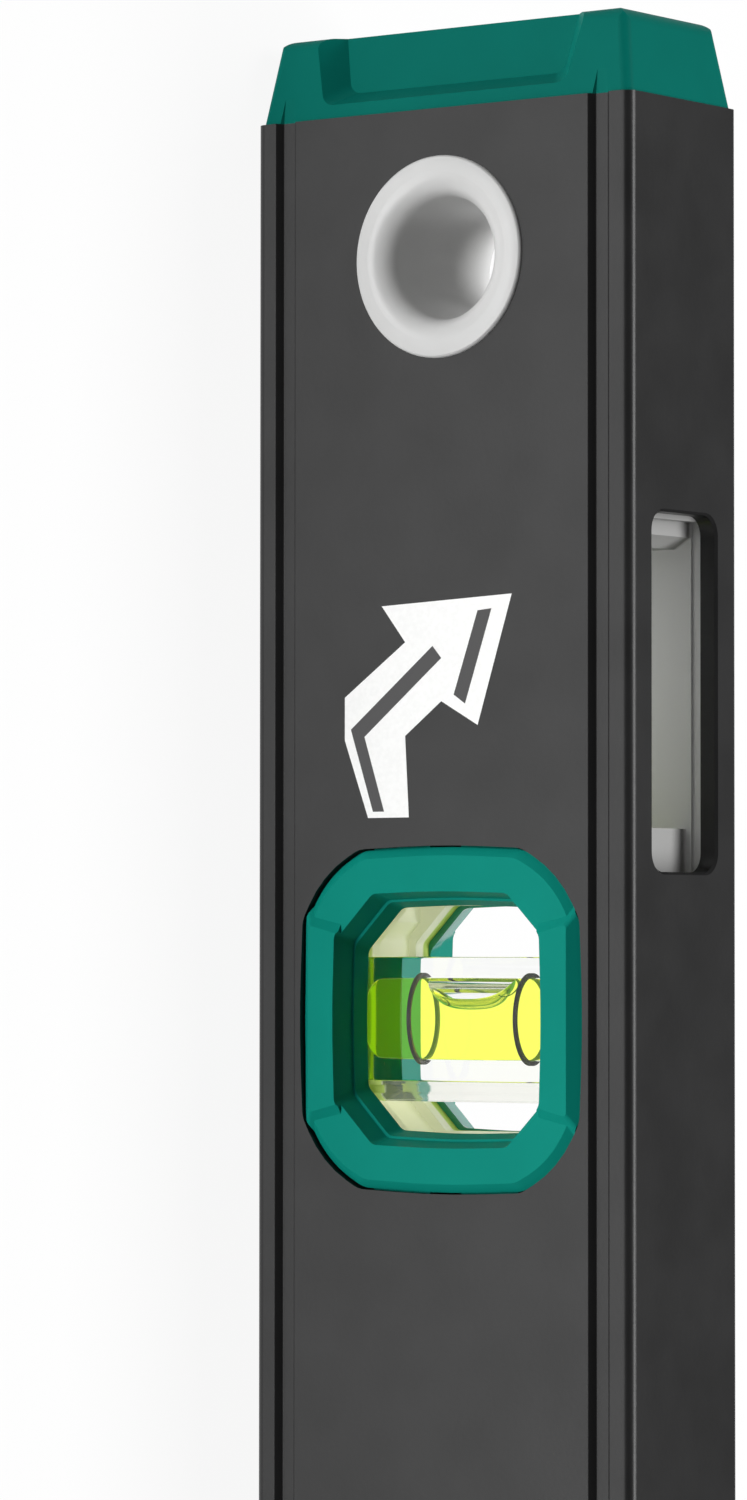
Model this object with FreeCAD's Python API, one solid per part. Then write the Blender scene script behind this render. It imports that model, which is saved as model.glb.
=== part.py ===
import FreeCAD, Part
import math
import os

# Box beam spirit level, lying on its narrow measuring edge.
# X runs along the level, Y through its thickness with the front face at -Y, Z up across its width.
# All sizes are in millimetres.

# Overall beam
tube_length = 577.6
beam_width = 60.0
beam_thickness = 25.0
edge_radius = 1.4
wide_wall = 1.5
narrow_wall = 2.5
inner_radius = 0.4
cutter_over = 1.0

# Grip grooves that run along both wide faces
groove_near_edge = 3.3
groove_width = 3.2
groove_depth = 0.95
groove_flank_run = 0.65
groove_lip_radius = 0.25
rail_overlap = 0.4

# End caps
cap_height = 11.2
cap_inset = 0.5
cap_draft = 0.16
cap_edge_radius = 1.3
cap_side_round = 2.4
cap_face_round = 2.0
cap_recess_depth = 2.8
cap_recess_width_top = 45.2
cap_recess_width_base = 38.8
cap_recess_flank_top = 1.15
cap_recess_flank_base = 0.8
cap_recess_foot = 1.9
cap_recess_foot_slope = 0.62
cap_recess_corner = 1.9
cap_notch_height = 3.2
cap_notch_flare = 0.6
cap_notch_tip_flare = 0.2
spigot_length = 7.4
spigot_wall = 2.2
fit_gap = 0.15

# Hanging hole liner
hang_from_end = 19.4
liner_lip_radius = 13.2
liner_lip_rise = 0.8
liner_crest_radius = 11.0
liner_barrel_radius = 11.3
liner_bore_radius = 8.0
liner_back_radius = 9.8
liner_hole_gap = 0.1
liner_edge_round = 0.3
liner_shoulder_share = 0.62
liner_crown_share = 0.9
liner_flare_length = 6.0
liner_flare_middle = 3.3
liner_flare_share = 0.27

# Vial stations
plumb_from_end = 118.45
bezel_half = 22.5
bezel_chamfer = 9.2
bezel_bow = 0.55
bezel_bulge = 1.9
bulge_roundness = 0.7
bezel_corner_radius = 4.0
bezel_gap = 0.2
bezel_bevel = 1.1
bezel_bevel_drop = 0.9
bezel_depth = 5.6
opening_half_along = 16.7
opening_half_across = 16.65
opening_chamfer = 5.6
opening_bow = 0.35
opening_corner_radius = 1.6
opening_taper_along = 0.8
opening_taper_across = 0.3
opening_ledge = 0.3
opening_ledge_depth = 3.0
bar_rise = 0.8
bar_outer = 20.6
bar_half_length = 11.1
bar_end_slant = 1.2
bar_end_ramp = 1.3
bar_flank_run = 1.7
bar_root = 0.8
bar_corner_radius = 0.5
tab_length = 9.0
tab_height = 0.45
tab_spacing = 14.0
tab_run = 2.4
tab_root = 0.6
tab_clearance = 0.05

# Vial block and what it holds
block_length = 40.0
block_height = 16.3
block_edge = 0.3
bore_radius = 5.25
bore_barrel_sag = 0.12
bore_barrel_reach = 14.0
bore_closed_end = -17.5
bore_open_end = 13.4
bore_end_round = 1.8
vial_middle = -1.0
ring_spacing = 17.0
ring_radius = 5.75
ring_width = 0.55
plug_radius = 5.6
plug_rim = 1.6
plug_dish_depth = 1.5
plug_dish_flank = 0.6
bubble_length = 13.4
bubble_depth = 4.05
bubble_radius = 3.9
bubble_end_round = 3.6

# Clear holder between the two bezels
holder_half_across = 21.6
holder_end_wall = 1.6
holder_chamfer = 8.6
holder_recess = 1.1
holder_rim = 2.9
shelf_thickness = 2.6
shelf_groove = 0.7
shelf_groove_start = 0.5
shelf_groove_width = 1.1
holder_corner_radius = 1.5
holder_opening_chamfer = 5.0
holder_opening_radius = 1.2
holder_recess_chamfer = 5.2
sight_half = 15.0

# Reading windows in the narrow edge
window_length = 46.1
window_width = 14.6
window_radius = 2.6
window_edge_break = 0.35
plumb_window_from_end = 76.4

# Mirror carrier below the plumb window
mirror_line = 104.3
carrier_start = 52.6
carrier_stop = 95.3
carrier_foot_stop = 100.8
carrier_width = 19.8
trough_width = 15.0
mirror_start = 57.4
mirror_stop = 91.5
mirror_thickness = 2.0
carrier_floor = 2.4
carrier_slope_drop = 8.16
carrier_end_wall = 3.0
carrier_gap = 0.9
carrier_step = 1.6
carrier_step_width = 0.4
carrier_shoulder = 4.0
carrier_edge_relief = 1.0
carrier_underside = 4.0
carrier_bridge = 1.6
bridge_gap = 2.2
rivet_from_end = 57.0
rivet_height = 43.6
rivet_head_radius = 1.35
rivet_head_rise = 0.7
rivet_shank_radius = 0.8
rivet_shank_reach = 2.2
rivet_hole_reach = 3.0

# Values that follow from the sizes above
front = -beam_thickness / 2
middle_height = beam_width / 2
tube_start = -tube_length / 2
block_half_thickness = -(front + bezel_depth)
plumb_x = tube_start + plumb_from_end
second_plumb_x = tube_length / 2 - plumb_from_end
hang_x = tube_start + hang_from_end
plumb_window_x = tube_start + plumb_window_from_end

X_AXIS = FreeCAD.Vector(1, 0, 0)
Y_AXIS = FreeCAD.Vector(0, 1, 0)
Z_AXIS = FreeCAD.Vector(0, 0, 1)


def point(x, y, z):
    return FreeCAD.Vector(x, y, z)


def rounded_wire(corners, radii):
    """Closed wire through the corners, each rounded by an arc of its own radius."""
    count = len(corners)
    starts = []
    ends = []
    middles = []
    for index in range(count):
        here = corners[index]
        back = (corners[index - 1] - here).normalize()
        ahead = (corners[(index + 1) % count] - here).normalize()
        radius = radii[index]
        half_angle = back.getAngle(ahead) / 2
        if radius <= 0 or half_angle > math.pi / 2 - 0.001:
            starts.append(here)
            ends.append(here)
            middles.append(None)
            continue
        reach = radius / math.tan(half_angle)
        toward = (back + ahead).normalize()
        centre = here + toward * (radius / math.sin(half_angle))
        starts.append(here + back * reach)
        ends.append(here + ahead * reach)
        middles.append(centre - toward * radius)
    edges = []
    for index in range(count):
        if middles[index] is not None:
            edges.append(Part.Arc(starts[index], middles[index], ends[index]).toShape())
        following = starts[(index + 1) % count]
        if (following - ends[index]).Length > 0.000001:
            edges.append(Part.makeLine(ends[index], following))
    return Part.Wire(edges)


def prism(wire, sweep):
    return Part.Face(wire).extrude(sweep)


def ruled_loft(wires):
    return Part.makeLoft(wires, True, True)


def box_between(low, high):
    return Part.makeBox(high[0] - low[0], high[1] - low[1], high[2] - low[2], point(*low))


def turned(corners, axis):
    """Solid turned about the axis through the origin from a closed wire."""
    return Part.Face(corners).revolve(point(0, 0, 0), axis, 360)


def save(name, shape):
    shape.exportStep("parts/" + name + ".step")


def outer_corners():
    """Front half of the beam's outer outline with its two grooves, from the bottom edge to the top."""
    first = groove_near_edge
    last = groove_near_edge + groove_width
    floor_y = front + groove_depth
    groove = [
        (front, first, groove_lip_radius),
        (floor_y, first + groove_flank_run, groove_lip_radius),
        (floor_y, last - groove_flank_run, groove_lip_radius),
        (front, last, groove_lip_radius),
    ]
    above = [(y, beam_width - z, r) for y, z, r in reversed(groove)]
    return [(front, 0, edge_radius)] + groove + above + [(front, beam_width, edge_radius)]


def inner_corners():
    """Front half of the beam's hollow, which narrows beside the grooves."""
    wall_y = front + wide_wall
    rail_y = wall_y + groove_depth
    rail_z = groove_near_edge + groove_width + rail_overlap
    lower = [
        (rail_y, narrow_wall, inner_radius),
        (rail_y, rail_z - groove_flank_run, groove_lip_radius),
        (wall_y, rail_z, groove_lip_radius),
    ]
    return lower + [(y, beam_width - z, r) for y, z, r in reversed(lower)]


def section_wire(front_half):
    outline = front_half + [(-y, z, r) for y, z, r in reversed(front_half)]
    corners = [point(tube_start, y, z) for y, z, _ in outline]
    return rounded_wire(corners, [r for _, _, r in outline])


def rounded_slot(x, z, length, breadth, radius, widen):
    """Slot outline in a narrow edge, grown all round by widen."""
    half_length = length / 2 + widen
    half_breadth = breadth / 2 + widen
    corners = [
        point(x - half_length, -half_breadth, z),
        point(x + half_length, -half_breadth, z),
        point(x + half_length, half_breadth, z),
        point(x - half_length, half_breadth, z),
    ]
    return rounded_wire(corners, [radius + widen] * 4)


def window_cutter(x):
    """Reading window through the top narrow wall, with its outer edge broken."""
    below = beam_width - narrow_wall - cutter_over
    straight = prism(
        rounded_slot(x, below, window_length, window_width, window_radius, 0),
        Z_AXIS * (narrow_wall + 2 * cutter_over),
    )
    flare = ruled_loft(
        [
            rounded_slot(x, beam_width - window_edge_break, window_length, window_width, window_radius, 0),
            rounded_slot(x, beam_width, window_length, window_width, window_radius, window_edge_break),
        ]
    )
    return straight.fuse(flare)


def octagon(y, half_x, half_z, chamfer, bow, corner_radius, bulge=0):
    """Eight-sided outline on a plane of constant Y, its sides bowed by bow and its chamfers by bulge."""
    diagonal = math.sqrt(0.5)
    inner_x = half_x - bow
    inner_z = half_z - bow
    end_x = inner_x - chamfer
    end_z = inner_z - chamfer
    side_bend = min(end_x, end_z) / 2
    corner = [(inner_x, end_z, corner_radius)]
    if bulge > 0:
        half_chamfer = chamfer * diagonal
        middle_x = (inner_x + end_x) / 2 + bulge * diagonal
        middle_z = (inner_z + end_z) / 2 + bulge * diagonal
        corner.append((middle_x, middle_z, bulge_roundness * half_chamfer ** 2 / bulge))
    corner.append((end_x, inner_z, corner_radius))
    side = [(half_x, 0, side_bend * end_z / bow)] if bow > 0 else []
    end = [(0, half_z, side_bend * end_x / bow)] if bow > 0 else []
    other_corner = [(-x, z, r) for x, z, r in reversed(corner)]
    upper = side + corner + end + other_corner
    outline = upper + [(-x, -z, r) for x, z, r in upper]
    corners = [point(x, y, z) for x, z, _ in outline]
    return rounded_wire(corners, [r for _, _, r in outline])


def station_hole():
    """Hole through the beam that takes both bezels of one vial."""
    half = bezel_half + bezel_gap
    outline = octagon(
        front - cutter_over, half, half, bezel_chamfer, bezel_bow, bezel_corner_radius, bezel_bulge
    )
    return prism(outline, Y_AXIS * (beam_thickness + 2 * cutter_over))


def place_station(shape, x, turn):
    """Moves a piece made about the vial's centre to its place in the beam."""
    placed = shape.copy()
    placed.rotate(point(0, 0, 0), Y_AXIS, turn)
    placed.translate(point(x, 0, middle_height))
    return placed


def beam():
    outer = prism(section_wire(outer_corners()), X_AXIS * tube_length)
    inner = prism(section_wire(inner_corners()), X_AXIS * tube_length)
    tube = outer.cut(inner)
    hang_hole = Part.makeCylinder(
        liner_barrel_radius + liner_hole_gap,
        beam_thickness + 2 * cutter_over,
        point(hang_x, front - cutter_over, middle_height),
        Y_AXIS,
    )
    cutters = [hang_hole, window_cutter(plumb_window_x), window_cutter(0)]
    hole = station_hole()
    for x in (plumb_x, second_plumb_x):
        cutters.append(place_station(hole, x, 0))
    cutters.append(place_station(hole, 0, 90))
    rivet_hole = Part.makeCylinder(
        rivet_shank_radius,
        wide_wall + 2 * cutter_over,
        point(tube_start + rivet_from_end, -front - wide_wall - cutter_over, rivet_height),
        Y_AXIS,
    )
    cutters.append(rivet_hole)
    return tube.cut(cutters).removeSplitter()


def cap_section(x):
    """Outline of the drafted cap body at a distance out from the tube's end."""
    inset = cap_inset + cap_draft * x
    low_y = front + inset
    corners = [
        point(-x, low_y, inset),
        point(-x, -low_y, inset),
        point(-x, -low_y, beam_width - inset),
        point(-x, low_y, beam_width - inset),
    ]
    return rounded_wire(corners, [cap_edge_radius] * 4)


def cap_recess():
    """Cutter for the shallow scoop in the cap's front, open at the cap's top."""
    slope = math.atan(cap_draft)
    wires = []
    for depth in (-cutter_over, cap_recess_depth):
        half_top = cap_recess_width_top / 2 - cap_recess_flank_top * depth
        half_base = cap_recess_width_base / 2 - cap_recess_flank_base * depth
        foot = cap_recess_foot + cap_recess_foot_slope * depth
        top = cap_height + 4 * cutter_over
        corners = []
        for x, half in ((foot, -half_base), (foot, half_base), (top, half_top), (top, -half_top)):
            y = front + cap_inset + cap_draft * x + depth / math.cos(slope)
            corners.append(point(-x, y, middle_height + half))
        wires.append(rounded_wire(corners, [cap_recess_corner, cap_recess_corner, 0, 0]))
    return ruled_loft(wires)


def cap_notch():
    """Wedge cut where a groove of the beam runs out into the cap's base."""
    depth_y = front + groove_depth
    fade_y = front + cap_inset + cap_draft * cap_notch_height
    open_y = front - cutter_over
    first = groove_near_edge
    last = groove_near_edge + groove_width
    narrowed = groove_flank_run + cap_notch_tip_flare
    base = rounded_wire(
        [
            point(0, open_y, first - cap_notch_flare),
            point(0, depth_y, first + groove_flank_run),
            point(0, depth_y, last - groove_flank_run),
            point(0, open_y, last + cap_notch_flare),
        ],
        [0] * 4,
    )
    tip = rounded_wire(
        [
            point(-cap_notch_height, open_y, first - cap_notch_tip_flare),
            point(-cap_notch_height, fade_y, first + narrowed),
            point(-cap_notch_height, fade_y, last - narrowed),
            point(-cap_notch_height, open_y, last + cap_notch_tip_flare),
        ],
        [0] * 4,
    )
    return ruled_loft([base, tip])


def mirrored_about_middle(shape):
    return shape.mirror(point(0, 0, middle_height), Z_AXIS)


def end_cap():
    """Moulded cap for the tube's -X end, with its base on the plane X = 0."""
    body = ruled_loft([cap_section(0), cap_section(cap_height)])
    over = cutter_over
    low = cap_inset - cap_draft * over
    high = cap_inset + cap_draft * cap_height
    side_view = rounded_wire(
        [
            point(over, front - over, low),
            point(-cap_height, front - over, high),
            point(-cap_height, front - over, beam_width - high),
            point(over, front - over, beam_width - low),
        ],
        [0, cap_side_round, cap_side_round, 0],
    )
    edge_view = rounded_wire(
        [
            point(over, front + low, 0),
            point(-cap_height, front + high, 0),
            point(-cap_height, -front - high, 0),
            point(over, -front - low, 0),
        ],
        [0, cap_face_round, cap_face_round, 0],
    )
    body = body.common(prism(side_view, Y_AXIS * (beam_thickness + 2 * over)))
    body = body.common(prism(edge_view, Z_AXIS * beam_width))
    recess = cap_recess()
    low_notch = cap_notch()
    cutters = []
    for cutter in (recess, low_notch, mirrored_about_middle(low_notch)):
        cutters.append(cutter)
        cutters.append(cutter.mirror(point(0, 0, 0), Y_AXIS))
    body = body.cut(cutters)
    narrow_y = -front - wide_wall - groove_depth - fit_gap
    full_y = -front - wide_wall - fit_gap
    clear_z = groove_near_edge + groove_width + wide_wall
    low_z = narrow_wall + fit_gap
    spigot = box_between((0, -narrow_y, low_z), (spigot_length, narrow_y, beam_width - low_z))
    spigot = spigot.fuse(
        box_between((0, -full_y, clear_z), (spigot_length, full_y, beam_width - clear_z))
    )
    pocket = box_between(
        (0, spigot_wall - narrow_y, low_z + spigot_wall),
        (spigot_length + over, narrow_y - spigot_wall, beam_width - low_z - spigot_wall),
    )
    return body.fuse(spigot).cut(pocket).removeSplitter()


def hanging_liner():
    """Round-lipped grommet through both wide walls, turned about Y."""
    crest_y = front - liner_lip_rise
    shoulder_x = liner_lip_radius - liner_edge_round
    shoulder_y = front - liner_shoulder_share * liner_lip_rise
    crown_x = (shoulder_x + liner_crest_radius) / 2
    edge_x = liner_lip_radius - liner_edge_round / 5
    mouth = liner_crest_radius - liner_bore_radius
    diagonal = mouth * (1 - math.sqrt(0.5))
    throat_y = crest_y + mouth
    flare = liner_back_radius - liner_bore_radius
    flare_start = -front - liner_flare_length
    lip_edge = Part.Arc(
        point(liner_lip_radius, front, 0),
        point(edge_x, (front + shoulder_y) / 2, 0),
        point(shoulder_x, shoulder_y, 0),
    )
    lip_top = Part.Arc(
        point(shoulder_x, shoulder_y, 0),
        point(crown_x, front - liner_crown_share * liner_lip_rise, 0),
        point(liner_crest_radius, crest_y, 0),
    )
    trumpet = Part.Arc(
        point(liner_crest_radius, crest_y, 0),
        point(liner_bore_radius + diagonal, crest_y + diagonal, 0),
        point(liner_bore_radius, throat_y, 0),
    )
    back_flare = Part.Arc(
        point(liner_bore_radius, flare_start, 0),
        point(liner_bore_radius + liner_flare_share * flare, flare_start + liner_flare_middle, 0),
        point(liner_back_radius, -front, 0),
    )
    edges = [
        lip_edge.toShape(),
        lip_top.toShape(),
        trumpet.toShape(),
        Part.makeLine(point(liner_bore_radius, throat_y, 0), point(liner_bore_radius, flare_start, 0)),
        back_flare.toShape(),
        Part.makeLine(point(liner_back_radius, -front, 0), point(liner_barrel_radius, -front, 0)),
        Part.makeLine(point(liner_barrel_radius, -front, 0), point(liner_barrel_radius, front, 0)),
        Part.makeLine(point(liner_barrel_radius, front, 0), point(liner_lip_radius, front, 0)),
    ]
    return turned(Part.Wire(edges), Y_AXIS)


def bezel_outline(y, inset):
    half = bezel_half - inset
    chamfer = bezel_chamfer - 0.4 * inset
    return octagon(y, half, half, chamfer, bezel_bow, bezel_corner_radius - 0.5 * inset, bezel_bulge)


def side_bar():
    """Raised grip bar on the +Z side of a bezel, with sloped ends and a sloped outer flank."""
    base_y = front + bezel_bevel_drop
    top_y = front - bar_rise
    root_z = opening_half_across - bar_root
    ramp = bar_end_ramp * (bar_rise + bezel_bevel_drop) / bar_rise
    half = bar_half_length
    base = [
        point(-half - ramp, base_y, root_z),
        point(half + ramp, base_y, root_z),
        point(half + ramp + bar_end_slant, base_y, bar_outer + bar_flank_run),
        point(-half - ramp - bar_end_slant, base_y, bar_outer + bar_flank_run),
    ]
    top = [
        point(-half, top_y, root_z),
        point(half, top_y, root_z),
        point(half + bar_end_slant, top_y, bar_outer),
        point(-half - bar_end_slant, top_y, bar_outer),
    ]
    radii = [0, 0, bar_corner_radius, bar_corner_radius]
    bar = ruled_loft([rounded_wire(base, radii), rounded_wire(top, radii)])
    envelope = prism(bezel_outline(top_y - cutter_over, 0), Y_AXIS * (bar_rise + bezel_depth))
    return bar.common(envelope)


def opening_stage(near_y, far_y, widen):
    """Part of the bezel's tapered sight opening between two depths."""
    wires = []
    for y in (near_y, far_y):
        share = (y - front) / opening_ledge_depth
        half_x = opening_half_along - opening_taper_along * share - widen
        half_z = opening_half_across - opening_taper_across * share - widen
        wires.append(octagon(y, half_x, half_z, opening_chamfer, opening_bow, opening_corner_radius))
    return ruled_loft(wires)


def snap_tab(side, offset):
    """Sloped catch that grips behind the beam's wide wall."""
    near = front + wide_wall + tab_clearance
    base = side * (bezel_half - bezel_bow - tab_root)
    tip = side * (bezel_half + tab_height)
    wire = rounded_wire(
        [
            point(base, near, offset - tab_length / 2),
            point(tip, near, offset - tab_length / 2),
            point(base, near + tab_run, offset - tab_length / 2),
        ],
        [0, 0, 0],
    )
    return prism(wire, Z_AXIS * tab_length)


def bezel():
    """Front bezel of a vial, about the vial's centre, with the vial lying along Z."""
    back_y = front + bezel_depth
    body = ruled_loft(
        [
            bezel_outline(front, bezel_bevel),
            bezel_outline(front + bezel_bevel_drop, 0),
        ]
    )
    body = body.fuse(prism(bezel_outline(front + bezel_bevel_drop, 0), Y_AXIS * (back_y - front - bezel_bevel_drop)))
    bar = side_bar()
    pieces = [bar, bar.mirror(point(0, 0, 0), Z_AXIS)]
    for side in (-1, 1):
        for offset in (-tab_spacing / 2, tab_spacing / 2):
            pieces.append(snap_tab(side, offset))
    body = body.fuse(pieces)
    ledge_y = front + opening_ledge_depth
    outer_stage = opening_stage(front - bar_rise - cutter_over, ledge_y, 0)
    inner_stage = opening_stage(ledge_y, back_y + cutter_over, opening_ledge)
    return body.cut([outer_stage, inner_stage]).removeSplitter()


def bore_profile(radius, with_rings, stop):
    """Half section of the vial's bore in the XZ plane, closed along the Z axis."""
    middle = vial_middle
    reach = bore_open_end - middle
    far_reach = middle - bore_closed_end - bore_end_round
    open_radius = radius - bore_barrel_sag * (reach / bore_barrel_reach) ** 2
    shut_radius = radius - bore_barrel_sag * (far_reach / bore_barrel_reach) ** 2
    shut = point(shut_radius, 0, bore_closed_end + bore_end_round)
    corner = bore_end_round * (1 - math.sqrt(0.5))
    rounding = Part.Arc(
        shut,
        point(shut_radius - corner, 0, bore_closed_end + corner),
        point(shut_radius - bore_end_round, 0, bore_closed_end),
    ).toShape()
    barrel = Part.Arc(shut, point(radius, 0, middle), point(open_radius, 0, bore_open_end)).toShape()
    edges = [
        Part.makeLine(point(0, 0, bore_closed_end), point(shut_radius - bore_end_round, 0, bore_closed_end)),
        rounding,
        barrel,
    ]
    end = point(open_radius, 0, bore_open_end)
    if stop > bore_open_end:
        for following in (point(plug_radius, 0, bore_open_end), point(plug_radius, 0, stop)):
            edges.append(Part.makeLine(end, following))
            end = following
    edges.append(Part.makeLine(end, point(0, 0, end.z)))
    edges.append(Part.makeLine(point(0, 0, end.z), point(0, 0, bore_closed_end)))
    solid = turned(Part.Wire(edges), Z_AXIS)
    if with_rings:
        for z in ring_places():
            seat = Part.makeCylinder(ring_radius, ring_width, point(0, 0, z - ring_width / 2), Z_AXIS)
            solid = solid.fuse(seat)
    return solid


def ring_places():
    return (vial_middle - ring_spacing / 2, vial_middle + ring_spacing / 2)


def vial_block():
    """Clear block with the barrel-shaped bore of the vial along Z."""
    half = block_half_thickness
    corners = [
        point(-block_height / 2, -half, -block_length / 2),
        point(block_height / 2, -half, -block_length / 2),
        point(block_height / 2, half, -block_length / 2),
        point(-block_height / 2, half, -block_length / 2),
    ]
    body = prism(rounded_wire(corners, [block_edge] * 4), Z_AXIS * block_length)
    return body.cut(bore_profile(bore_radius, True, block_length / 2 + cutter_over))


def bubble_space():
    """Long round-ended space of the bubble, against the bore's upper side."""
    half = bubble_length / 2
    outline = rounded_wire(
        [
            point(0, 0, -half),
            point(bubble_radius, 0, -half),
            point(bubble_radius, 0, half),
            point(0, 0, half),
        ],
        [0, bubble_end_round, bubble_end_round, 0],
    )
    space = turned(outline, Z_AXIS)
    space.translate(point(-bore_radius + bubble_depth - bubble_radius, 0, vial_middle))
    return space


def vial_liquid():
    """Liquid that fills the bore, with the bubble as the empty space at its top side."""
    return bore_profile(bore_radius, False, bore_open_end).cut(bubble_space())


def marker_ring(z):
    inner = bore_profile(bore_radius, False, bore_open_end)
    low = z - ring_width / 2
    ring = Part.makeCylinder(ring_radius, ring_width, point(0, 0, low), Z_AXIS)
    return ring.cut(inner)


def vial_plug():
    """Plug that shuts the bore's open end."""
    end = block_length / 2
    dish_radius = plug_radius - plug_rim
    edges = rounded_wire(
        [
            point(0, 0, bore_open_end),
            point(plug_radius, 0, bore_open_end),
            point(plug_radius, 0, end),
            point(dish_radius, 0, end),
            point(dish_radius - plug_dish_flank, 0, end - plug_dish_depth),
            point(0, 0, end - plug_dish_depth),
        ],
        [0] * 6,
    )
    return turned(edges, Z_AXIS)


def vial_holder():
    """Clear frame between the bezels that carries the block and its shelf."""
    half_y = block_half_thickness
    share = bezel_depth / opening_ledge_depth
    open_x = opening_half_along - opening_taper_along * share - opening_ledge
    open_z = opening_half_across - opening_taper_across * share - opening_ledge
    half_along = block_length / 2 + holder_end_wall
    past_y = half_y + cutter_over
    recess_y = half_y - holder_rim
    recess_x = open_x + holder_recess
    recess_z = open_z + holder_recess
    outline = octagon(-half_y, holder_half_across, half_along, holder_chamfer, 0, holder_corner_radius)
    body = prism(outline, Y_AXIS * (2 * half_y))
    opening = octagon(-past_y, open_x, open_z, holder_opening_chamfer, 0, holder_opening_radius)
    through = prism(opening, Y_AXIS * (2 * past_y))
    pocket = octagon(-recess_y, recess_x, recess_z, holder_recess_chamfer, 0, holder_corner_radius)
    recess = prism(pocket, Y_AXIS * (2 * recess_y))
    block_seat = box_between(
        (-block_height / 2, -past_y, -block_length / 2), (block_height / 2, past_y, block_length / 2)
    )
    sight = box_between(
        (-holder_half_across - cutter_over, -recess_y, -sight_half), (0, recess_y, sight_half)
    )
    frame = body.cut([through, recess, block_seat, sight])
    shelf_x = block_height / 2
    groove_x = shelf_x + shelf_groove_start
    shelf_z = open_z + holder_recess
    past_z = shelf_z + cutter_over
    shelf = box_between((shelf_x, -half_y, -shelf_z), (shelf_x + shelf_thickness, half_y, shelf_z))
    for side in (-1, 1):
        near = side * (half_y - shelf_groove)
        far = side * past_y
        cutter = box_between(
            (groove_x, min(near, far), -past_z), (groove_x + shelf_groove_width, max(near, far), past_z)
        )
        shelf = shelf.cut(cutter)
    return frame.fuse(shelf).removeSplitter()


def along(from_end, height, y):
    """Point of the mirror carrier given by its distance from the tube's end."""
    return point(tube_start + from_end, y, height)


def side_prism(outline, width):
    """Prism across the beam's thickness from an outline of (from_end, height) pairs."""
    corners = [along(from_end, height, -width / 2) for from_end, height in outline]
    return prism(rounded_wire(corners, [0] * len(corners)), Y_AXIS * width)


def mirror_carrier():
    """Trough under the plumb window whose sloped floor carries the mirror."""
    top = beam_width - narrow_wall
    step = top - carrier_step
    foot = middle_height + bezel_half + carrier_gap
    floor = narrow_wall + carrier_gap
    lower = mirror_line - carrier_slope_drop
    seat = mirror_line - mirror_thickness * math.sqrt(2)
    under_seat = seat - carrier_floor * math.sqrt(2)
    past_stop = carrier_foot_stop + cutter_over
    past_top = top + cutter_over
    body = side_prism(
        [
            (carrier_start, top),
            (carrier_foot_stop, top),
            (carrier_foot_stop, foot),
            (carrier_stop, foot),
            (carrier_stop, floor),
            (lower - floor, floor),
            (carrier_start, lower - carrier_start),
        ],
        carrier_width,
    )
    trough = side_prism(
        [
            (mirror_start - carrier_end_wall, past_top),
            (past_stop, past_top),
            (past_stop, mirror_line - mirror_stop),
            (mirror_stop, mirror_line - mirror_stop),
            (mirror_stop, seat - mirror_stop),
            (mirror_start, seat - mirror_start),
            (mirror_start, top - carrier_shoulder),
        ],
        trough_width,
    )
    rebate_start = mirror_start - carrier_end_wall - carrier_step_width
    rebate = side_prism(
        [(rebate_start, past_top), (past_stop, past_top), (past_stop, step), (rebate_start, step)],
        trough_width + 2 * carrier_step_width,
    )
    hollow_start = carrier_start + carrier_end_wall
    hollow_stop = carrier_stop - carrier_end_wall
    hollow = side_prism(
        [
            (hollow_start, lower - hollow_start - carrier_underside),
            (hollow_start, under_seat - hollow_start),
            (hollow_stop, under_seat - hollow_stop),
            (hollow_stop, lower - hollow_stop - carrier_underside),
        ],
        trough_width,
    )
    shank = Part.makeCylinder(
        rivet_shank_radius,
        rivet_hole_reach + cutter_over,
        along(rivet_from_end, rivet_height, carrier_width / 2 - rivet_hole_reach),
        Y_AXIS,
    )
    bridge = side_prism(
        [
            (mirror_stop + bridge_gap, foot),
            (past_stop, foot),
            (past_stop, foot + carrier_bridge),
            (mirror_stop + bridge_gap, foot + carrier_bridge),
        ],
        carrier_width,
    )
    cutters = [trough.cut(bridge), rebate.cut(bridge), hollow, shank]
    for side in (-1, 1):
        near = side * (carrier_width / 2 - carrier_edge_relief)
        far = side * (carrier_width / 2 + cutter_over)
        cutters.append(
            box_between(
                (tube_start, min(near, far), top - carrier_edge_relief),
                (tube_start + past_stop, max(near, far), past_top),
            )
        )
    return body.cut(cutters).removeSplitter()


def mirror_plate():
    """Flat mirror at 45 degrees that shows the plumb vial in the narrow edge."""
    seat = mirror_line - mirror_thickness * math.sqrt(2)
    return side_prism(
        [
            (mirror_start, mirror_line - mirror_start),
            (mirror_stop, mirror_line - mirror_stop),
            (mirror_stop, seat - mirror_stop),
            (mirror_start, seat - mirror_start),
        ],
        trough_width,
    )


def carrier_rivet():
    """Domed rivet through the back wall into the mirror carrier."""
    head_y = -front
    start_y = carrier_width / 2 - rivet_shank_reach
    centre = along(rivet_from_end, rivet_height, 0)
    ball = (rivet_head_radius ** 2 + rivet_head_rise ** 2) / (2 * rivet_head_rise)
    dome = Part.makeSphere(ball, point(centre.x, head_y + rivet_head_rise - ball, centre.z))
    keep = box_between(
        (centre.x - ball, head_y, centre.z - ball), (centre.x + ball, head_y + ball, centre.z + ball)
    )
    shank = Part.makeCylinder(
        rivet_shank_radius, head_y - start_y, point(centre.x, start_y, centre.z), Y_AXIS
    )
    return dome.common(keep).fuse(shank).removeSplitter()


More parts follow.
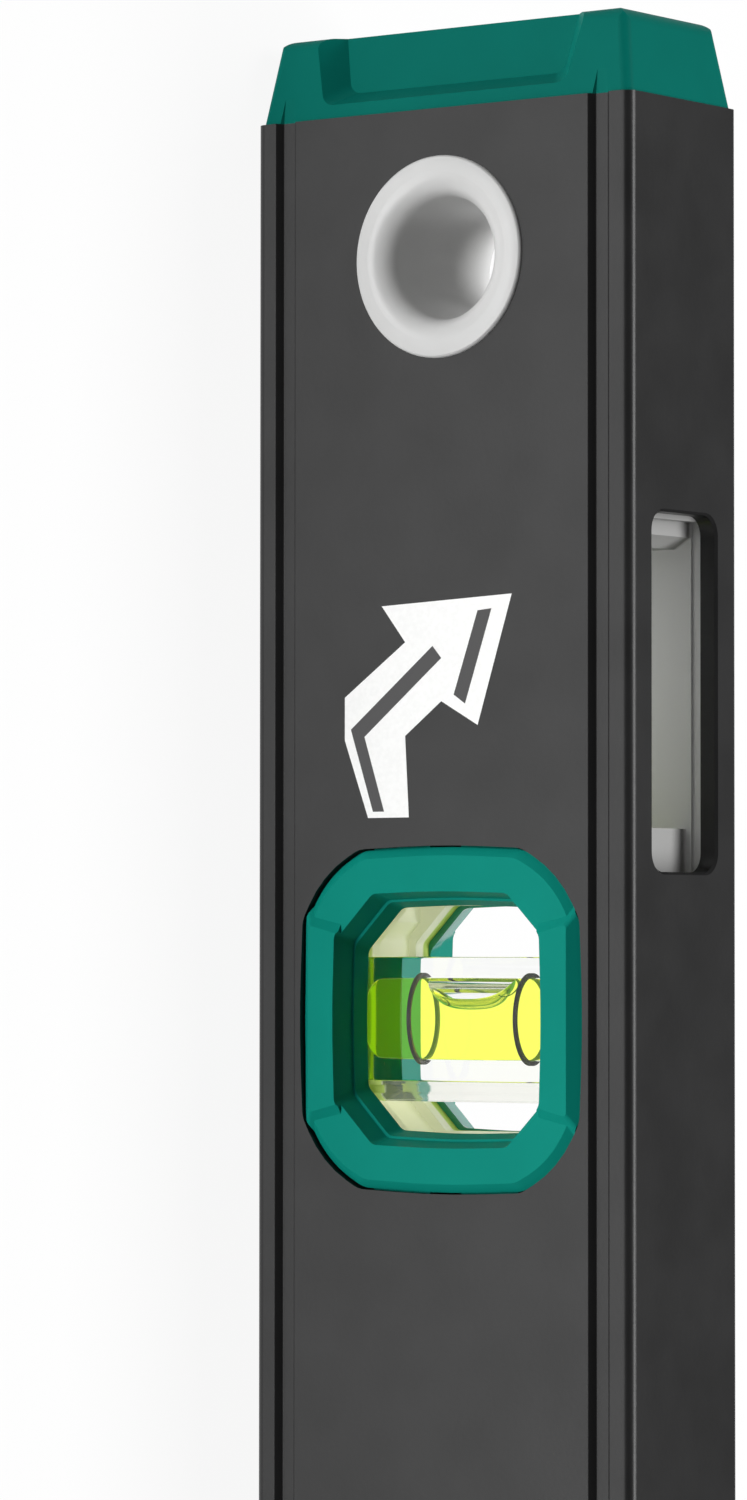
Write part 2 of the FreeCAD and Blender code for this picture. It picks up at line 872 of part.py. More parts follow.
def save_station(prefix, x, turn):
    """All pieces of one vial station, named with the station's prefix."""
    face = bezel()
    rear = face.copy()
    rear.rotate(point(0, 0, 0), Z_AXIS, 180)
    first_ring, second_ring = ring_places()
    pieces = {
        "front_bezel": face,
        "back_bezel": rear,
        "vial_holder": vial_holder(),
        "vial_block": vial_block(),
        "vial_liquid": vial_liquid(),
        "lower_ring": marker_ring(first_ring),
        "upper_ring": marker_ring(second_ring),
        "vial_plug": vial_plug(),
    }
    for name, shape in pieces.items():
        save(prefix + "_" + name, place_station(shape, x, turn))


def main():
    os.makedirs("parts", exist_ok=True)
    save("box_profile", beam())
    cap = end_cap()
    near_cap = cap.copy()
    near_cap.translate(point(tube_start, 0, 0))
    save("hanging_end_cap", near_cap)
    far_cap = near_cap.copy()
    far_cap.rotate(point(0, 0, 0), Z_AXIS, 180)
    save("far_end_cap", far_cap)
    liner = hanging_liner()
    liner.translate(point(hang_x, 0, middle_height))
    save("hanging_hole_liner", liner)
    save_station("plumb", plumb_x, 0)
    save_station("centre", 0, 90)
    save_station("far_plumb", second_plumb_x, 0)
    save("mirror_carrier", mirror_carrier())
    save("plumb_mirror", mirror_plate())
    save("carrier_rivet", carrier_rivet())


main()
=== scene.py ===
import math

import bmesh
import bpy
from mathutils import Matrix, Vector


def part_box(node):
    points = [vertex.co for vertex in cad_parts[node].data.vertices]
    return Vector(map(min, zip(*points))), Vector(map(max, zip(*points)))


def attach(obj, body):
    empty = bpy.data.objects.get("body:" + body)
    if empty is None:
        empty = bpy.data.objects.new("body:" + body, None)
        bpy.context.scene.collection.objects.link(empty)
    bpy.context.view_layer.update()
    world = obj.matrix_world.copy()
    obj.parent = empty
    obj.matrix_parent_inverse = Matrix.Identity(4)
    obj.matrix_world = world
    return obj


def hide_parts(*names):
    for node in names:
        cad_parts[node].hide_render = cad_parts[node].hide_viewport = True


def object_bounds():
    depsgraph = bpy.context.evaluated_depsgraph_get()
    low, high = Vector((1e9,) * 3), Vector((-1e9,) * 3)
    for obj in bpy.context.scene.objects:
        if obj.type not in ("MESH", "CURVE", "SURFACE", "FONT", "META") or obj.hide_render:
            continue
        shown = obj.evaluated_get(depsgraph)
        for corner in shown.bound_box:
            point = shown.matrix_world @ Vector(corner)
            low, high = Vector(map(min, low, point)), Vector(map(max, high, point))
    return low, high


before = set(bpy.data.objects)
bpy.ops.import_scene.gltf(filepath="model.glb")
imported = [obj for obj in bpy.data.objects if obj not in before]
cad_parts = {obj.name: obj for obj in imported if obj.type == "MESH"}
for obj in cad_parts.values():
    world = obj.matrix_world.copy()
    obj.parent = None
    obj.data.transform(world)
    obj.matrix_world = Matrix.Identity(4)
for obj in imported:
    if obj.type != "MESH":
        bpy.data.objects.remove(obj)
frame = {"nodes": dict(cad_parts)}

# Box beam level lying on its narrow measuring edge: X along it, front face at -Y, Z up.
# Everything is in metres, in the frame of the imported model.

cad_low, cad_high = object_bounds()

MM = 0.001
STATIONS = ("plumb", "centre", "far_plumb")

# Colours, as linear values
PAINT = (0.006, 0.006, 0.0062)
PAINT_WORN = (0.009, 0.009, 0.0093)
BEZEL_GREEN = (0.004, 0.255, 0.2)
CAP_GREEN = (0.002, 0.15, 0.12)
LINER_GREY = (0.63, 0.63, 0.625)
CARRIER_GREY = (0.87, 0.87, 0.865)
# Painted shade: the darker grey of the carrier's ledges stands in for shade
CARRIER_LEDGE_SHADE = (0.36, 0.36, 0.355)
HOLDER_CREAM = (0.98, 0.98, 0.93)
# Painted light: the holder's yellow-green rim colour stands in for light coloured by the liquid
HOLDER_RIM_PAINTED_TINT = (0.5, 0.66, 0.16)
RIVET_GREEN = (0.33, 0.6, 0.55)
MIRROR_DULL = (0.8, 0.81, 0.81)
MIRROR_BRIGHT = (0.86, 0.87, 0.87)
RING_BLACK = (0.008, 0.008, 0.007)
BLOCK_CLEAR = (0.97, 0.975, 0.97)
PLUG_CLEAR = (0.93, 0.95, 0.85)
LIQUID_YELLOW = (0.97, 0.985, 0.12)
# Painted light: the liquid's glow, though no lamp is in it
LIQUID_PAINTED_GLOW = (0.035, 0.075, 0.003)
BUBBLE_UNDER_CLEAR = (0.98, 1.0, 0.9)
BUBBLE_UPPER_CLEAR = (0.98, 0.98, 0.98)
PRINT_WHITE = (0.95, 0.95, 0.94)
PRINT_BLACK = (0.018, 0.017, 0.018)
FLOOR_WHITE = (0.93, 0.93, 0.93)

# Specular level of the coat and of the matt mouldings
PAINT_GLOSS = 0.37
MATT_GLOSS = 0.02

# Grain of the mouldings and of the smoother liner: ripples for each metre, and their height
GRAIN_SCALE = 2600
GRAIN_HEIGHT = 0.012 * MM
LINER_GRAIN_SCALE = 1200
LINER_GRAIN_HEIGHT = 0.006 * MM

# Painted light of the milky holder: its walls glow as though lit through from behind, and beyond
# the depth RIM_START they glow and are tinted yellow-green, as though lit through the liquid. Its
# shelf is clear and without glow as far as SHELF_REACH from the middle, or SHELF_SLANT across the
# corners
HOLDER_PAINTED_GLOW = (0.18, 0.185, 0.115)
RIM_PAINTED_GLOW = (0.07, 0.09, 0.016)
SHELF_REACH = 13.0 * MM
SHELF_SLANT = 23.0 * MM
RIM_START = 5.4 * MM

# Ledges at the ends of the carrier's trough, measured from its middle, which get painted shade
LEDGE_START = 16.4 * MM
LEDGE_HALF_WIDTH = 6.9 * MM

# Width of the soft border between two areas of one material
BORDER_WIDTH = 0.5 * MM

# Refraction of the clear plastic, of the liquid and of the wetted wall over the bubble
BLOCK_IOR = 1.49
LIQUID_IOR = 1.46
FILM_IOR = 1.25


def new_material(name):
    """A fresh node material: (material, its nodes, its links, its shader)."""
    material = bpy.data.materials.new(name)
    material.use_nodes = True
    nodes = material.node_tree.nodes
    return material, nodes, material.node_tree.links, nodes["Principled BSDF"]


def noise_value(nodes, links, scale, detail):
    """Noise over the object's own coordinates; scale is in ripples for each metre."""
    coordinates = nodes.new("ShaderNodeTexCoord")
    noise = nodes.new("ShaderNodeTexNoise")
    noise.inputs["Scale"].default_value = scale
    noise.inputs["Detail"].default_value = detail
    links.new(coordinates.outputs["Object"], noise.inputs["Vector"])
    return noise.outputs["Fac"]


def ramp(nodes, links, source, low, high, start=0.35, stop=0.65):
    """Colour ramp between two linear colours."""
    node = nodes.new("ShaderNodeValToRGB")
    node.color_ramp.elements[0].position = start
    node.color_ramp.elements[1].position = stop
    node.color_ramp.elements[0].color = (*low, 1)
    node.color_ramp.elements[1].color = (*high, 1)
    links.new(source, node.inputs["Fac"])
    return node.outputs["Color"]


def spread(nodes, links, source, low, high):
    """Maps a 0 to 1 value to the span from low to high."""
    node = nodes.new("ShaderNodeMapRange")
    node.inputs["To Min"].default_value = low
    node.inputs["To Max"].default_value = high
    links.new(source, node.inputs["Value"])
    return node.outputs["Result"]


def add_bump(nodes, links, shader, source, height, strength):
    """Bump of the given height in metres."""
    node = nodes.new("ShaderNodeBump")
    node.inputs["Strength"].default_value = strength
    node.inputs["Distance"].default_value = height
    links.new(source, node.inputs["Height"])
    links.new(node.outputs["Normal"], shader.inputs["Normal"])


def paint_material():
    """Satin black coat with a fine orange-peel grain."""
    material, nodes, links, shader = new_material("satin_black_coat")
    broad = noise_value(nodes, links, scale=90, detail=4)
    grain = noise_value(nodes, links, scale=1500, detail=2)
    links.new(ramp(nodes, links, broad, PAINT, PAINT_WORN), shader.inputs["Base Color"])
    links.new(spread(nodes, links, broad, low=0.3, high=0.38), shader.inputs["Roughness"])
    shader.inputs["Specular IOR Level"].default_value = PAINT_GLOSS
    add_bump(nodes, links, shader, grain, height=0.03 * MM, strength=0.35)
    return material


def moulded_material(
    name, colour, roughness, grain_scale=GRAIN_SCALE, grain_height=GRAIN_HEIGHT, gloss=0.5
):
    """Moulded plastic: an even colour with slight cloudiness and a fine eroded grain."""
    material, nodes, links, shader = new_material(name)
    shader.inputs["Specular IOR Level"].default_value = gloss
    cloud = noise_value(nodes, links, scale=60, detail=3)
    grain = noise_value(nodes, links, grain_scale, detail=2)
    darker = tuple(0.93 * value for value in colour)
    links.new(ramp(nodes, links, cloud, darker, colour), shader.inputs["Base Color"])
    uneven = spread(nodes, links, grain, low=roughness - 0.05, high=roughness + 0.05)
    links.new(uneven, shader.inputs["Roughness"])
    add_bump(nodes, links, shader, grain, grain_height, strength=0.5)
    return material


def clear_material(name, tint, ior, roughness=0.0, painted_glow=None):
    """Clear plastic or liquid, with a faint unevenness in its tint."""
    material, nodes, links, shader = new_material(name)
    cloud = noise_value(nodes, links, scale=140, detail=2)
    paler = tuple(min(1.0, 1.02 * value) for value in tint)
    links.new(ramp(nodes, links, cloud, tint, paler), shader.inputs["Base Color"])
    shader.inputs["Transmission Weight"].default_value = 1.0
    shader.inputs["Roughness"].default_value = roughness
    shader.inputs["IOR"].default_value = ior
    # Painted light: an optional glow, given only to the yellow liquid
    if painted_glow is not None:
        shader.inputs["Emission Color"].default_value = (*painted_glow, 1)
        shader.inputs["Emission Strength"].default_value = 1.0
    return material


def math_node(nodes, links, operation, first, second=None):
    """Maths on one or two values."""
    node = nodes.new("ShaderNodeMath")
    node.operation = operation
    links.new(first, node.inputs[0])
    if second is not None:
        links.new(second, node.inputs[1])
    return node.outputs[0]


def step_up(nodes, links, source, start):
    """0 below the start, 1 from the border's width past it."""
    node = nodes.new("ShaderNodeMapRange")
    node.inputs["From Min"].default_value = start
    node.inputs["From Max"].default_value = start + BORDER_WIDTH
    links.new(source, node.inputs["Value"])
    return node.outputs["Result"]


def distances(nodes, links, centre):
    """Distances along X, Y and Z from a centre on the object."""
    coordinates = nodes.new("ShaderNodeTexCoord")
    mapping = nodes.new("ShaderNodeMapping")
    mapping.inputs["Location"].default_value = -centre
    parts = nodes.new("ShaderNodeSeparateXYZ")
    links.new(coordinates.outputs["Object"], mapping.inputs["Vector"])
    links.new(mapping.outputs["Vector"], parts.inputs["Vector"])
    return [math_node(nodes, links, "ABSOLUTE", parts.outputs[axis]) for axis in ("X", "Y", "Z")]


def carrier_material():
    """Pale moulding with painted shade on the ledges at both ends of its trough."""
    material, nodes, links, shader = new_material("carrier_pale_plastic")
    low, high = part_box("mirror_carrier")
    along, depth = distances(nodes, links, (low + high) / 2)[:2]
    outside = step_up(nodes, links, depth, LEDGE_HALF_WIDTH)
    inside = spread(nodes, links, outside, low=1.0, high=0.0)
    ledge_shade = math_node(nodes, links, "MULTIPLY", step_up(nodes, links, along, LEDGE_START), inside)
    # Painted shade: the ledges get a darker grey than the rest of the trough
    colour = ramp(nodes, links, ledge_shade, CARRIER_GREY, CARRIER_LEDGE_SHADE, start=0, stop=1)
    links.new(colour, shader.inputs["Base Color"])
    shader.inputs["Roughness"].default_value = 0.4
    grain = noise_value(nodes, links, GRAIN_SCALE, detail=2)
    add_bump(nodes, links, shader, grain, GRAIN_HEIGHT, strength=0.5)
    return material


def holder_material(name, centre):
    """Milky moulding with painted light: its walls glow, and its rims by the bezels glow
    yellow-green.
    """
    material, nodes, links, shader = new_material(name)
    across, depth, height = distances(nodes, links, centre)
    outward = math_node(nodes, links, "MAXIMUM", across, height)
    slanting = math_node(nodes, links, "ADD", across, height)
    past_reach = step_up(nodes, links, outward, SHELF_REACH)
    past_slant = step_up(nodes, links, slanting, SHELF_SLANT)
    wall = math_node(nodes, links, "MAXIMUM", past_reach, past_slant)
    rim = math_node(nodes, links, "MULTIPLY", wall, step_up(nodes, links, depth, RIM_START))
    # Painted light: the walls glow, and the rims are tinted and glow yellow-green as though lit
    # through the liquid
    colour = ramp(nodes, links, rim, HOLDER_CREAM, HOLDER_RIM_PAINTED_TINT, start=0, stop=1)
    painted_glow = ramp(nodes, links, rim, HOLDER_PAINTED_GLOW, RIM_PAINTED_GLOW, start=0, stop=1)
    links.new(colour, shader.inputs["Base Color"])
    links.new(painted_glow, shader.inputs["Emission Color"])
    links.new(wall, shader.inputs["Emission Strength"])
    links.new(spread(nodes, links, wall, low=0.9, high=0.35), shader.inputs["Transmission Weight"])
    links.new(spread(nodes, links, wall, low=0.08, high=0.3), shader.inputs["Roughness"])
    shader.inputs["IOR"].default_value = BLOCK_IOR
    waves = noise_value(nodes, links, scale=160, detail=2)
    add_bump(nodes, links, shader, waves, height=0.15 * MM, strength=0.3)
    return material


def mirror_material():
    """Silvered plate with faint smears."""
    material, nodes, links, shader = new_material("silvered_mirror")
    smear = noise_value(nodes, links, scale=200, detail=3)
    links.new(ramp(nodes, links, smear, MIRROR_DULL, MIRROR_BRIGHT), shader.inputs["Base Color"])
    links.new(spread(nodes, links, smear, low=0.03, high=0.07), shader.inputs["Roughness"])
    shader.inputs["Metallic"].default_value = 1.0
    return material


def print_material(name, colour):
    """Dull ink with fine specks."""
    material, nodes, links, shader = new_material(name)
    speck = noise_value(nodes, links, scale=1800, detail=2)
    duller = tuple(0.96 * value for value in colour)
    links.new(ramp(nodes, links, speck, duller, colour), shader.inputs["Base Color"])
    shader.inputs["Roughness"].default_value = 0.45
    return material


def set_material(obj, material):
    """Gives an object this material alone."""
    obj.data.materials.clear()
    obj.data.materials.append(material)


def mesh_object(name, bm, materials, smooth_angle=None):
    """Object from a bmesh, riding on the level's one body."""
    mesh = bpy.data.meshes.new(name)
    bm.to_mesh(mesh)
    bm.free()
    obj = bpy.data.objects.new(name, mesh)
    bpy.context.scene.collection.objects.link(obj)
    for material in materials:
        mesh.materials.append(material)
    if smooth_angle is not None:
        mesh.shade_smooth()
        mesh.set_sharp_from_angle(angle=math.radians(smooth_angle))
    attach(obj, "root")
    return obj


class Station:
    """Place of one vial: local x across the block, y through the beam, z along the vial."""

    def __init__(self, prefix):
        self.prefix = prefix
        low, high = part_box(prefix + "_vial_block")
        self.centre = (low + high) / 2
        size = high - low
        lies_along = size.x > size.z
        self.half = Vector(sorted((size.x, size.z))) / 2
        self.half_y = size.y / 2
        turn = math.radians(90) if lies_along else 0
        self.matrix = Matrix.Translation(self.centre) @ Matrix.Rotation(turn, 4, "Y")
        inverse = self.matrix.inverted()
        corners = [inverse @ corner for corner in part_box(prefix + "_vial_liquid")]
        self.liquid_start = min(corner.z for corner in corners)
        self.liquid_stop = max(corner.z for corner in corners)
        low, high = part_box(prefix + "_vial_liquid")
        self.bore_radius = (high.y - low.y) / 2
        rings = [prefix + end for end in ("_lower_ring", "_upper_ring")]
        places = [(inverse @ ((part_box(ring)[0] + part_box(ring)[1]) / 2)).z for ring in rings]
        self.middle = sum(places) / 2

    def place(self, bm):
        """Moves a bmesh from local coordinates to the beam's."""
        bm.transform(self.matrix)


# Bubble against the vial's upper side, at local -x
BUBBLE_LENGTH = 13.6 * MM
BUBBLE_DEPTH = 4.3 * MM
BUBBLE_ANGLE = math.radians(60)

# Powers that round the bubble: its ends, its edge along the wall, and its underside twice
END_POWER = 2.6
EDGE_POWER = 0.6
UNDER_POWER = 2.3
UNDER_FULLNESS = 0.75

# Least depth of the bubble under its edge, for its pointed ends
LEAST_RISE = 1e-7

# Bore: how much narrower it is at SAG_REACH from its middle, its rounded end, and the gap of the
# scene's pieces to the solids around them
BORE_SAG = 0.12 * MM
SAG_REACH = 14 * MM
END_ROUND = 1.8 * MM
SKIN = 0.03 * MM
BLOCK_BEVEL = 0.3 * MM
BLOCK_SMOOTH_ANGLE = 40

# Faces around and along the liquid, at each rounded end, and across the bubble; the bubble's end
# rows lie within BUBBLE_TIP of its half length
AROUND = 96
ROWS = 120
END_ROWS = 12
ACROSS = 32
BUBBLE_TIP = 0.05


def bore_radius_at(station, z):
    """Radius of the barrel-shaped bore, with its closed end rounded."""
    radius = station.bore_radius - SKIN - BORE_SAG * ((z - station.middle) / SAG_REACH) ** 2
    depth = z - station.liquid_start
    if depth < END_ROUND:
        radius -= END_ROUND - math.sqrt(max(0.0, END_ROUND ** 2 - (END_ROUND - depth) ** 2))
    return radius


def bubble_share(station, z):
    """0 outside the bubble's length, 1 at its middle."""
    reach = abs(z - station.middle) / (BUBBLE_LENGTH / 2)
    return math.sqrt(1 - reach ** END_POWER) if reach < 1 else 0.0


def bubble_edge(station, z):
    """Angle at which the bubble's edge meets the wall, from the upper side."""
    return BUBBLE_ANGLE * bubble_share(station, z) ** EDGE_POWER


def wall_point(station, z, angle):
    """Point of the bore's wall; angle 0 is the upper side, at local -x."""
    radius = bore_radius_at(station, z)
    return Vector((-radius * math.cos(angle), radius * math.sin(angle), z))


def bubble_point(station, z, share):
    """Point of the bubble's underside, from one edge (-1) to the other (1)."""
    size = bubble_share(station, z)
    radius = bore_radius_at(station, z)
    edge_angle = bubble_edge(station, z)
    edge_x = -radius * math.cos(edge_angle)
    edge_y = radius * math.sin(edge_angle)
    lowest_x = -radius + BUBBLE_DEPTH * size
    rise = max(lowest_x - edge_x, LEAST_RISE)
    bulge = (1 - abs(share) ** UNDER_POWER) ** UNDER_FULLNESS
    return Vector((edge_x + rise * bulge, edge_y * share, z))


def row_places(station):
    """Places along the vial, closer together near its closed end and the bubble's ends."""
    start, stop = station.liquid_start, station.liquid_stop
    turns = [math.radians(90 * i / END_ROWS) for i in range(END_ROWS)]
    places = [start + END_ROUND * (1 - math.cos(turn)) for turn in turns]
    places += [start + END_ROUND + (stop - start - END_ROUND) * i / ROWS for i in range(ROWS + 1)]
    for side in (-1, 1):
        for i in range(1, END_ROWS):
            reach = 1 - (i / END_ROWS) ** 2 * BUBBLE_TIP
            places.append(station.middle + side * reach * BUBBLE_LENGTH / 2)
        places.append(station.middle + side * BUBBLE_LENGTH / 2)
    return sorted(places)


def grid(bm, rows, material_index, flip=False):
    """Quads between rows of points."""
    vertices = [[bm.verts.new(point) for point in row] for row in rows]
    for first, second in zip(vertices, vertices[1:]):
        for index in range(len(first) - 1):
            corners = [first[index], first[index + 1], second[index + 1], second[index]]
            if flip:
                corners.reverse()
            face = bm.faces.new(corners)
            face.smooth = True
            face.material_index = material_index


def liquid_piece(station, wall, meniscus, patch):
    """The liquid's skin with the bubble in it, its faces turned towards the liquid and the air."""
    bm = bmesh.new()
    places = row_places(station)
    rows = []
    for z in places:
        gap = bubble_edge(station, z)
        span = 2 * math.pi - 2 * gap
        rows.append([wall_point(station, z, gap + span * i / AROUND) for i in range(AROUND + 1)])
    rows.insert(0, [Vector((0, 0, places[0]))] * (AROUND + 1))
    rows.append([Vector((0, 0, places[-1]))] * (AROUND + 1))
    grid(bm, rows, 0)
    ends = (station.middle - BUBBLE_LENGTH / 2, station.middle + BUBBLE_LENGTH / 2)
    inside = [ends[0]] + [z for z in places if ends[0] < z < ends[1]] + [ends[1]]
    shares = [math.sin(math.pi * (i / ACROSS - 0.5)) for i in range(ACROSS + 1)]
    under = []
    above = []
    for z in inside:
        gap = bubble_edge(station, z)
        under.append([bubble_point(station, z, share) for share in shares])
        above.append([wall_point(station, z, gap * share) for share in shares])
    grid(bm, under, 1, flip=True)
    grid(bm, above, 2)
    bmesh.ops.remove_doubles(bm, verts=bm.verts, dist=0.0005 * MM)
    station.place(bm)
    return mesh_object(station.prefix + "_liquid_and_bubble", bm, [wall, meniscus, patch])


def bevelled_box(half, bevel):
    """Box about the origin with rounded edges."""
    bm = bmesh.new()
    bmesh.ops.create_cube(bm, size=2)
    for vertex in bm.verts:
        vertex.co = Vector([a * b for a, b in zip(vertex.co, half)])
    bmesh.ops.bevel(bm, geom=bm.edges[:], offset=bevel, segments=3, profile=0.5, affect="EDGES")
    return bm


def block_piece(station, material):
    """Polished clear block with broken edges, just inside its seat."""
    half = (station.half[0] - SKIN, station.half_y - SKIN, station.half[1] - SKIN)
    bm = bevelled_box(half, BLOCK_BEVEL)
    station.place(bm)
    return mesh_object(station.prefix + "_clear_block", bm, [material], BLOCK_SMOOTH_ANGLE)


def dress_station(prefix, materials):
    """Clear block and liquid of one vial, and the materials of the pieces around them."""
    station = Station(prefix)
    block = block_piece(station, materials["block"])
    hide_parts(prefix + "_vial_block")
    liquid = liquid_piece(station, materials["liquid"], materials["meniscus"], materials["patch"])
    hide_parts(prefix + "_vial_liquid")
    nodes = frame["nodes"]
    holder = holder_material(prefix + "_milky_holder", station.centre)
    set_material(nodes[prefix + "_vial_holder"], holder)
    set_material(nodes[prefix + "_vial_plug"], materials["plug"])
    for ring in ("_lower_ring", "_upper_ring"):
        set_material(nodes[prefix + ring], materials["ring"])
    for face in ("_front_bezel", "_back_bezel"):
        set_material(nodes[prefix + face], materials[face])


# Printed sign on the front face: a plain bent arrow, in millimetres from the beam's end and edge
ARROW = (
    (92.2, 18.6),
    (92.2, 25.2),
    (81.6, 24.6),
    (77.2, 30.4),
    (80.4, 36.2),
    (63.6, 41.6),
    (64.6, 20.8),
    (69.4, 24.6),
    (76.4, 14.8),
    (82.0, 14.8),
)
ARROW_STRIPES = (
    ((91.4, 19.4), (91.4, 21.2), (81.6, 18.0), (71.6, 30.4), (70.0, 29.0), (80.6, 15.8)),
    ((77.6, 34.2), (65.4, 38.4), (65.6, 36.2), (76.4, 32.4)),
)
PRINT_THICKNESS = 0.02 * MM


def printed_shape(name, outline, material, lift):
    """Thin ink shape, lifted this far off the front face."""
    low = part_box("box_profile")[0]
    bm = bmesh.new()
    back = low.y - lift
    front = back - PRINT_THICKNESS
    near = [bm.verts.new((low.x + a * MM, front, u * MM)) for a, u in outline]
    far = [bm.verts.new((low.x + a * MM, back, u * MM)) for a, u in outline]
    bm.faces.new(near)
    bm.faces.new(far[::-1])
    count = len(outline)
    for index in range(count):
        after = (index + 1) % count
        bm.faces.new([near[index], far[index], far[after], near[after]])
    bmesh.ops.recalc_face_normals(bm, faces=bm.faces)
    obj = mesh_object(name, bm, [material])
    return obj


def dress_frame():
    """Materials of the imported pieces, the vials and the printed sign."""
    nodes = frame["nodes"]
    bezel = moulded_material("bezel_green_plastic", BEZEL_GREEN, roughness=0.42, gloss=MATT_GLOSS)
    back_bezel = moulded_material("bezel_back_green_plastic", BEZEL_GREEN, roughness=0.25)
    cap = moulded_material("cap_green_plastic", CAP_GREEN, roughness=0.45, gloss=MATT_GLOSS)
    liner = moulded_material(
        "liner_grey_plastic", LINER_GREY, 0.36, LINER_GRAIN_SCALE, LINER_GRAIN_HEIGHT
    )
    rivet = moulded_material("rivet_pale_green", RIVET_GREEN, roughness=0.35)
    set_material(nodes["box_profile"], paint_material())
    for name in ("hanging_end_cap", "far_end_cap"):
        set_material(nodes[name], cap)
    set_material(nodes["hanging_hole_liner"], liner)
    set_material(nodes["mirror_carrier"], carrier_material())
    set_material(nodes["carrier_rivet"], rivet)
    set_material(nodes["plumb_mirror"], mirror_material())
    liquid_ior = BLOCK_IOR / LIQUID_IOR
    materials = {
        "_front_bezel": bezel,
        "_back_bezel": back_bezel,
        "ring": moulded_material("ring_black_ink", RING_BLACK, roughness=0.5),
        "block": clear_material("clear_block_plastic", BLOCK_CLEAR, BLOCK_IOR),
        "plug": clear_material("clear_plug_plastic", PLUG_CLEAR, BLOCK_IOR, roughness=0.1),
        # The yellow liquid's glow is painted light
        "liquid": clear_material("yellow_liquid", LIQUID_YELLOW, liquid_ior, painted_glow=LIQUID_PAINTED_GLOW),
        "meniscus": clear_material("bubble_underside", BUBBLE_UNDER_CLEAR, LIQUID_IOR),
        "patch": clear_material("bubble_upper_side", BUBBLE_UPPER_CLEAR, FILM_IOR),
    }
    for prefix in STATIONS:
        dress_station(prefix, materials)
    white = print_material("white_ink", PRINT_WHITE)
    black = print_material("black_ink", PRINT_BLACK)
    printed_shape("printed_arrow", ARROW, white, lift=0)
    for number, stripe in enumerate(ARROW_STRIPES):
        printed_shape("printed_arrow_stripe_%d" % number, stripe, black, lift=PRINT_THICKNESS)


# Strength of the world as a light, and how much of its white the gloss shows
WORLD_LIGHT = 0.09
WORLD_GLOSS = 0.15

# Floor just below the level, and the share of plain white in what is seen of it
FLOOR_SIDES = 64
FLOOR_RADIUS = 12.0
FLOOR_GAP = 0.02 * MM
FLOOR_SEEN = 0.92


def seen_rays(nodes, links):
    """The light path's outputs, and 1 for the rays of the camera and those through clear pieces."""
    rays = nodes.new("ShaderNodeLightPath").outputs
    seen = math_node(nodes, links, "MAXIMUM", rays["Is Camera Ray"], rays["Is Transmission Ray"])
    return rays, seen


def studio_floor():
    """Wide white floor that shows a light shadow of the level and casts none itself."""
    bm = bmesh.new()
    bmesh.ops.create_circle(bm, cap_ends=True, segments=FLOOR_SIDES, radius=FLOOR_RADIUS)
    for vertex in bm.verts:
        vertex.co.z = cad_low.z - FLOOR_GAP
    mesh = bpy.data.meshes.new("studio_floor")
    bm.to_mesh(mesh)
    bm.free()
    floor = bpy.data.objects.new("studio_floor", mesh)
    bpy.context.scene.collection.objects.link(floor)
    material, nodes, links, shader = new_material("floor_white")
    shader.inputs["Base Color"].default_value = (*FLOOR_WHITE, 1)
    shader.inputs["Roughness"].default_value = 0.9
    shader.inputs["Specular IOR Level"].default_value = 0.0
    white = nodes.new("ShaderNodeEmission")
    white.inputs["Strength"].default_value = 1.0
    rays, seen = seen_rays(nodes, links)
    seen = math_node(nodes, links, "MAXIMUM", seen, rays["Is Glossy Ray"])
    mix = nodes.new("ShaderNodeMixShader")
    links.new(spread(nodes, links, seen, low=0.0, high=FLOOR_SEEN), mix.inputs["Fac"])
    links.new(shader.outputs[0], mix.inputs[1])
    links.new(white.outputs[0], mix.inputs[2])
    links.new(mix.outputs[0], nodes["Material Output"].inputs["Surface"])
    mesh.materials.append(material)
    floor.visible_shadow = False


def studio_world():
    """White world: full for what is seen directly, weak as a light and in the gloss."""
    world = bpy.data.worlds.new("studio_world")
    bpy.context.scene.world = world
    world.use_nodes = True
    nodes = world.node_tree.nodes
    links = world.node_tree.links
    background = nodes["Background"]
    background.inputs["Color"].default_value = (1, 1, 1, 1)
    rays, seen = seen_rays(nodes, links)
    gloss = spread(nodes, links, rays["Is Glossy Ray"], low=0.0, high=WORLD_GLOSS)
    share = math_node(nodes, links, "MAXIMUM", seen, gloss)
    strength = spread(nodes, links, share, low=WORLD_LIGHT, high=1.0)
    links.new(strength, background.inputs["Strength"])


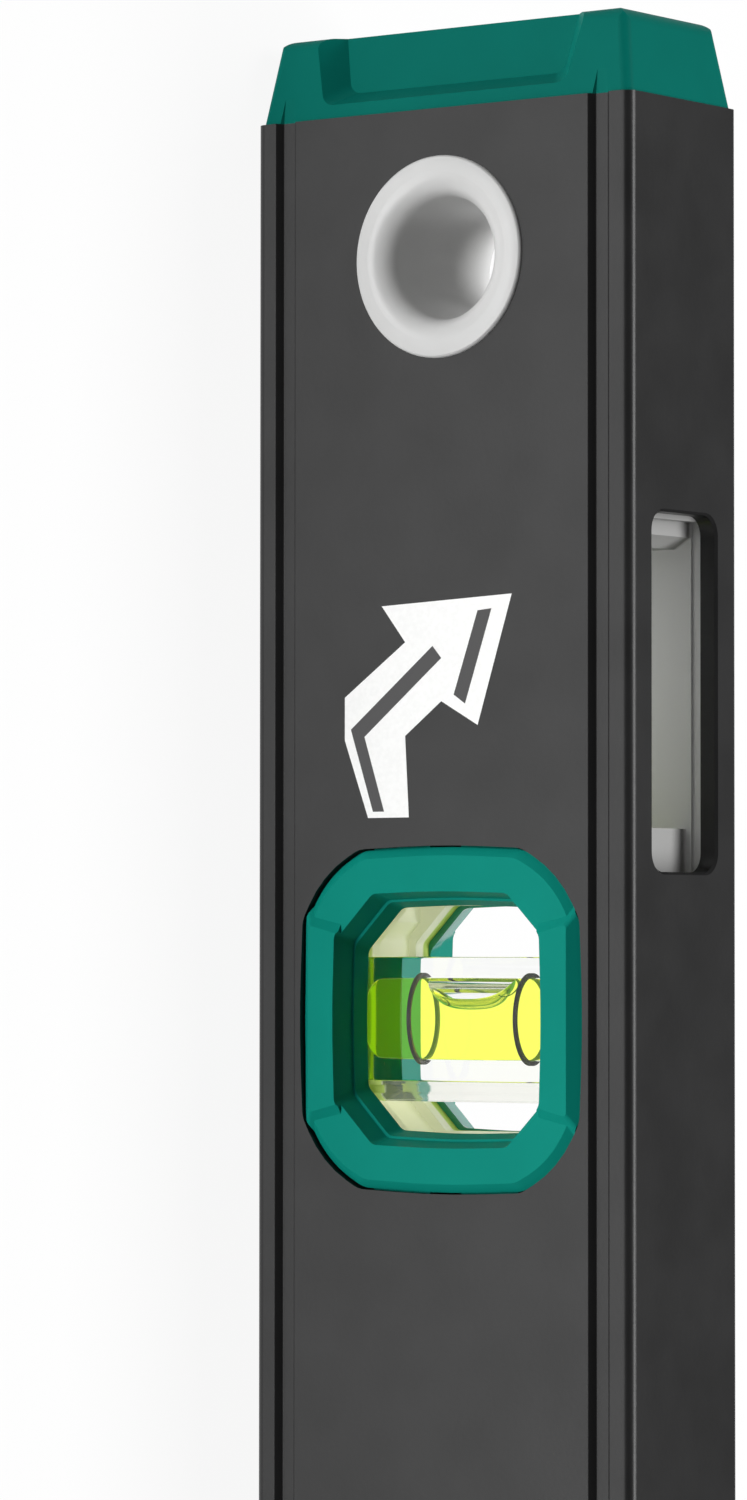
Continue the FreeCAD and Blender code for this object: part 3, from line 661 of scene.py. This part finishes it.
# Two like soft lights, aimed at the middle of what the picture shows
LIGHT_AIM = Vector((-0.18, 0, 0.03))
LIGHT_WIDTH = 1.6
LIGHT_HEIGHT = 0.5
LIGHT_POWER = 20
FRONT_LIGHT_PLACE = Vector((-0.25, -1.52, -0.45))
TOP_LIGHT_PLACE = Vector((-0.18, 0.46, 1.2))


def soft_light(name, place):
    """Wide rectangular light that points from its place at the level."""
    data = bpy.data.lights.new(name, "AREA")
    data.shape = "RECTANGLE"
    data.size = LIGHT_WIDTH
    data.size_y = LIGHT_HEIGHT
    data.energy = LIGHT_POWER
    light = bpy.data.objects.new(name, data)
    bpy.context.scene.collection.objects.link(light)
    light.location = place
    light.rotation_mode = "QUATERNION"
    light.rotation_quaternion = (LIGHT_AIM - place).to_track_quat("-Z", "Y")


def studio_lights():
    """A light in front for the wide face, and another above for the narrow edge.

    The level stood on end for the photograph, lit from the side of its lower edge. So the front
    light lies below the floor here, and reaches the level because the floor casts no shadow.
    """
    soft_light("front_softbox", FRONT_LIGHT_PLACE)
    soft_light("top_softbox", TOP_LIGHT_PLACE)


# Camera solved from the photograph, which has the beam's length upright
CAMERA_PLACE = Vector((-0.17893, -0.67012, 0.5084))
CAMERA_BACK = Vector((0.03237, -0.80208, 0.59634))
CAMERA_UP = Vector((-0.99948, -0.0264, 0.01876))
CAMERA_LENS = 150.71
SENSOR_WIDTH = 36
NEAR_LIMIT = 0.01
FAR_LIMIT = 60


def photo_camera():
    """Camera with the photograph's view."""
    data = bpy.data.cameras.new("photo_camera")
    data.sensor_width = SENSOR_WIDTH
    data.lens = CAMERA_LENS
    data.clip_start = NEAR_LIMIT
    data.clip_end = FAR_LIMIT
    camera = bpy.data.objects.new("photo_camera", data)
    bpy.context.scene.collection.objects.link(camera)
    back = CAMERA_BACK.normalized()
    right = CAMERA_UP.cross(back).normalized()
    turn = Matrix((right, back.cross(right), back)).transposed().to_4x4()
    camera.matrix_world = Matrix.Translation(CAMERA_PLACE) @ turn
    bpy.context.scene.camera = camera


dress_frame()
studio_floor()
studio_world()
studio_lights()
photo_camera()
bpy.context.scene.view_settings.view_transform = "Standard"
